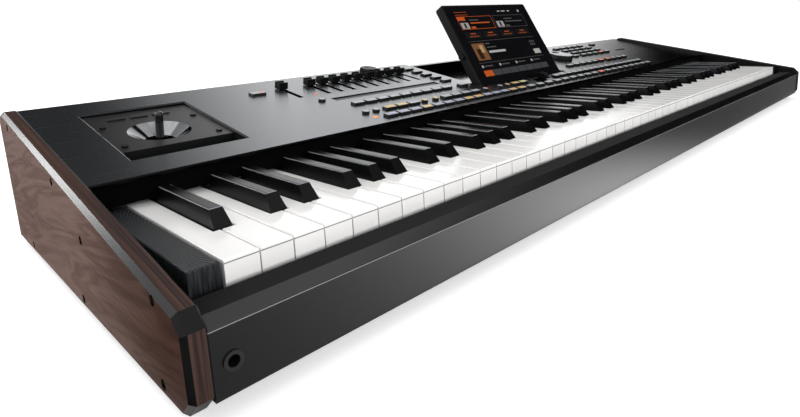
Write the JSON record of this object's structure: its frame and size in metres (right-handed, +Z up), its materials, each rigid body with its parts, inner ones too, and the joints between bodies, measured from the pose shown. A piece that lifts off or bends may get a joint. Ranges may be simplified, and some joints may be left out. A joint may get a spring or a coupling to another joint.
{
  "type": "arranger keyboard",
  "caption": "Stage arranger keyboard with full-size piano keys, wooden ends, tilting display, joystick, sliders, value dial and rows of panel buttons.",
  "frame": {"origin": "centre of the footprint on the surface that the feet stand on", "axes": "+Z up, +X to the player's right along the keys, -Y towards the player"},
  "size_m": [1.305, 0.401, 0.218],
  "materials": {
    "painted_steel": "satin",
    "brushed_panel": "brushed",
    "walnut": "satin",
    "black_plastic": "matte",
    "gloss_black": "gloss",
    "grey_plastic": "matte",
    "circuit_board": "satin",
    "steel": "satin",
    "black_steel": "satin",
    "silver_plastic": "satin",
    "rubber": "matte",
    "dark_glass": "gloss",
    "white_plastic": "gloss",
    "sharp_plastic": "satin"
  },
  "bodies": {
    "chassis": {"audio_jacks": "black_plastic", "bottom_plate": "painted_steel", "case_screws": "black_steel", "contact_board": "circuit_board", "data_sockets": "black_plastic", "display_tray": "black_plastic", "fallboard": "black_plastic", "front_rail": "painted_steel", "hinge_brackets": "steel", "joystick_bowl": "gloss_black", "joystick_bracket": "steel", "joystick_plate": "black_plastic", "key_end_blocks": "black_plastic", "key_frame": "grey_plastic", "left_wood_end": "walnut", "main_board": "circuit_board", "panel_board": "circuit_board", "power_inlet": "black_plastic", "power_supply": "steel", "rear_panel": "painted_steel", "right_wood_end": "walnut", "rubber_feet": "rubber", "strip_window": "dark_glass", "top_panel": "brushed_panel"},
    "keys_a": {"keys_a": "white_plastic"},
    "keys_a_sharp": {"keys_a_sharp": "sharp_plastic"},
    "keys_b": {"keys_b": "white_plastic"},
    "keys_c": {"keys_c": "white_plastic"},
    "keys_c_sharp": {"keys_c_sharp": "sharp_plastic"},
    "keys_d": {"keys_d": "white_plastic"},
    "keys_d_sharp": {"keys_d_sharp": "sharp_plastic"},
    "keys_e": {"keys_e": "white_plastic"},
    "keys_f": {"keys_f": "white_plastic"},
    "keys_f_sharp": {"keys_f_sharp": "sharp_plastic"},
    "keys_g": {"keys_g": "white_plastic"},
    "keys_g_sharp": {"keys_g_sharp": "sharp_plastic"},
    "power_button": {"power_button": "silver_plastic"},
    "strip_buttons": {"strip_buttons": "silver_plastic"},
    "round_buttons": {"round_buttons": "silver_plastic"},
    "middle_row_buttons": {"middle_row_buttons": "silver_plastic"},
    "front_row_buttons": {"front_row_buttons": "silver_plastic"},
    "right_block_buttons": {"right_block_buttons": "silver_plastic"},
    "joystick_switches": {"joystick_switches": "silver_plastic"},
    "master_slider": {"master_slider": "black_plastic"},
    "slider_1": {"slider_1": "black_plastic"},
    "slider_2": {"slider_2": "black_plastic"},
    "slider_3": {"slider_3": "black_plastic"},
    "slider_4": {"slider_4": "black_plastic"},
    "slider_5": {"slider_5": "black_plastic"},
    "slider_6": {"slider_6": "black_plastic"},
    "slider_7": {"slider_7": "black_plastic"},
    "slider_8": {"slider_8": "black_plastic"},
    "slider_9": {"slider_9": "black_plastic"},
    "balance_slider": {"balance_slider": "black_plastic"},
    "value_dial": {"value_dial": "black_plastic"},
    "level_knob": {"level_knob": "black_plastic"},
    "joystick_gimbal": {"joystick_gimbal": "steel"},
    "joystick_stick": {"joystick_stick": "gloss_black"},
    "display": {"display_shell": "black_plastic", "display_glass": "dark_glass"}
  },
  "joints": [
    {"name": "display_tilt", "type": "hinge", "parent": "chassis", "child": "display", "pos_m": [0.003, 0.0517, 0.09524], "axis": [1, 0, 0], "range_deg": [-47.7, 0]},
    {"name": "joystick_fore_aft", "type": "hinge", "parent": "chassis", "child": "joystick_gimbal", "pos_m": [-0.546, 0.09312, 0.08548], "axis": [1, 0, 0], "range_deg": [-20, 20], "stiffness_Nm_per_rad": 0.12},
    {"name": "joystick_left_right", "type": "hinge", "parent": "joystick_gimbal", "child": "joystick_stick", "pos_m": [-0.546, 0.09312, 0.08548], "axis": [0, 0.9839, 0.1788], "range_deg": [-20, 20], "stiffness_Nm_per_rad": 0.12},
    {"name": "value_dial_turn", "type": "hinge", "parent": "chassis", "child": "value_dial", "pos_m": [0.228, 0.11342, 0.11356], "axis": [0, -0.1788, 0.9839], "continuous": true},
    {"name": "level_knob_turn", "type": "hinge", "parent": "chassis", "child": "level_knob", "pos_m": [-0.203, 0.18328, 0.12626], "axis": [0, -0.1788, 0.9839], "range_deg": [-150, 150]},
    {"name": "balance_slider_slide", "type": "slide", "parent": "chassis", "child": "balance_slider", "axis": [1, 0, 0], "range_m": [-0.02, 0.02]},
    {"name": "master_slider_slide", "type": "slide", "parent": "chassis", "child": "master_slider", "axis": [0, 0.9839, 0.1788], "range_m": [-0.041, 0]},
    {"name": "slider_1_slide", "type": "slide", "parent": "chassis", "child": "slider_1", "axis": [0, 0.9839, 0.1788], "range_m": [-0.041, 0]},
    {"name": "slider_2_slide", "type": "slide", "parent": "chassis", "child": "slider_2", "axis": [0, 0.9839, 0.1788], "range_m": [-0.041, 0]},
    {"name": "slider_3_slide", "type": "slide", "parent": "chassis", "child": "slider_3", "axis": [0, 0.9839, 0.1788], "range_m": [-0.041, 0]},
    {"name": "slider_4_slide", "type": "slide", "parent": "chassis", "child": "slider_4", "axis": [0, 0.9839, 0.1788], "range_m": [-0.041, 0]},
    {"name": "slider_5_slide", "type": "slide", "parent": "chassis", "child": "slider_5", "axis": [0, 0.9839, 0.1788], "range_m": [-0.041, 0]},
    {"name": "slider_6_slide", "type": "slide", "parent": "chassis", "child": "slider_6", "axis": [0, 0.9839, 0.1788], "range_m": [-0.041, 0]},
    {"name": "slider_7_slide", "type": "slide", "parent": "chassis", "child": "slider_7", "axis": [0, 0.9839, 0.1788], "range_m": [-0.041, 0]},
    {"name": "slider_8_slide", "type": "slide", "parent": "chassis", "child": "slider_8", "axis": [0, 0.9839, 0.1788], "range_m": [-0.041, 0]},
    {"name": "slider_9_slide", "type": "slide", "parent": "chassis", "child": "slider_9", "axis": [0, 0.9839, 0.1788], "range_m": [-0.041, 0]},
    {"name": "keys_a_tip", "type": "hinge", "parent": "chassis", "child": "keys_a", "pos_m": [0, 0.0435, 0.0522], "axis": [1, 0, 0], "range_deg": [0, 2.79], "stiffness_Nm_per_rad": 4, "springref_deg": -14.32},
    {"name": "keys_a_sharp_tip", "type": "hinge", "parent": "chassis", "child": "keys_a_sharp", "pos_m": [0, 0.0435, 0.0522], "axis": [1, 0, 0], "range_deg": [0, 2.79], "stiffness_Nm_per_rad": 4, "springref_deg": -14.32},
    {"name": "keys_b_tip", "type": "hinge", "parent": "chassis", "child": "keys_b", "pos_m": [0, 0.0435, 0.0522], "axis": [1, 0, 0], "range_deg": [0, 2.79], "stiffness_Nm_per_rad": 4, "springref_deg": -14.32},
    {"name": "keys_c_tip", "type": "hinge", "parent": "chassis", "child": "keys_c", "pos_m": [0, 0.0435, 0.0522], "axis": [1, 0, 0], "range_deg": [0, 2.79], "stiffness_Nm_per_rad": 4, "springref_deg": -14.32},
    {"name": "keys_c_sharp_tip", "type": "hinge", "parent": "chassis", "child": "keys_c_sharp", "pos_m": [0, 0.0435, 0.0522], "axis": [1, 0, 0], "range_deg": [0, 2.79], "stiffness_Nm_per_rad": 4, "springref_deg": -14.32},
    {"name": "keys_d_tip", "type": "hinge", "parent": "chassis", "child": "keys_d", "pos_m": [0, 0.0435, 0.0522], "axis": [1, 0, 0], "range_deg": [0, 2.79], "stiffness_Nm_per_rad": 4, "springref_deg": -14.32},
    {"name": "keys_d_sharp_tip", "type": "hinge", "parent": "chassis", "child": "keys_d_sharp", "pos_m": [0, 0.0435, 0.0522], "axis": [1, 0, 0], "range_deg": [0, 2.79], "stiffness_Nm_per_rad": 4, "springref_deg": -14.32},
    {"name": "keys_e_tip", "type": "hinge", "parent": "chassis", "child": "keys_e", "pos_m": [0, 0.0435, 0.0522], "axis": [1, 0, 0], "range_deg": [0, 2.79], "stiffness_Nm_per_rad": 4, "springref_deg": -14.32},
    {"name": "keys_f_tip", "type": "hinge", "parent": "chassis", "child": "keys_f", "pos_m": [0, 0.0435, 0.0522], "axis": [1, 0, 0], "range_deg": [0, 2.79], "stiffness_Nm_per_rad": 4, "springref_deg": -14.32},
    {"name": "keys_f_sharp_tip", "type": "hinge", "parent": "chassis", "child": "keys_f_sharp", "pos_m": [0, 0.0435, 0.0522], "axis": [1, 0, 0], "range_deg": [0, 2.79], "stiffness_Nm_per_rad": 4, "springref_deg": -14.32},
    {"name": "keys_g_tip", "type": "hinge", "parent": "chassis", "child": "keys_g", "pos_m": [0, 0.0435, 0.0522], "axis": [1, 0, 0], "range_deg": [0, 2.79], "stiffness_Nm_per_rad": 4, "springref_deg": -14.32},
    {"name": "keys_g_sharp_tip", "type": "hinge", "parent": "chassis", "child": "keys_g_sharp", "pos_m": [0, 0.0435, 0.0522], "axis": [1, 0, 0], "range_deg": [0, 2.79], "stiffness_Nm_per_rad": 4, "springref_deg": -14.32},
    {"name": "power_button_press", "type": "slide", "parent": "chassis", "child": "power_button", "axis": [0, 0.1788, -0.9839], "range_m": [0, 0.0008], "stiffness_N_per_m": 900, "springref_m": -0.003},
    {"name": "strip_buttons_press", "type": "slide", "parent": "chassis", "child": "strip_buttons", "axis": [0, 0.1788, -0.9839], "range_m": [0, 0.0008], "stiffness_N_per_m": 900, "springref_m": -0.003},
    {"name": "round_buttons_press", "type": "slide", "parent": "chassis", "child": "round_buttons", "axis": [0, 0.1788, -0.9839], "range_m": [0, 0.0008], "stiffness_N_per_m": 900, "springref_m": -0.003},
    {"name": "middle_row_buttons_press", "type": "slide", "parent": "chassis", "child": "middle_row_buttons", "axis": [0, 0.1788, -0.9839], "range_m": [0, 0.0008], "stiffness_N_per_m": 900, "springref_m": -0.003},
    {"name": "front_row_buttons_press", "type": "slide", "parent": "chassis", "child": "front_row_buttons", "axis": [0, 0.1788, -0.9839], "range_m": [0, 0.0008], "stiffness_N_per_m": 900, "springref_m": -0.003},
    {"name": "right_block_buttons_press", "type": "slide", "parent": "chassis", "child": "right_block_buttons", "axis": [0, 0.1788, -0.9839], "range_m": [0, 0.0008], "stiffness_N_per_m": 900, "springref_m": -0.003},
    {"name": "joystick_switches_press", "type": "slide", "parent": "chassis", "child": "joystick_switches", "axis": [0, 0.1788, -0.9839], "range_m": [0, 0.0006], "stiffness_N_per_m": 900, "springref_m": -0.002}
  ]
}
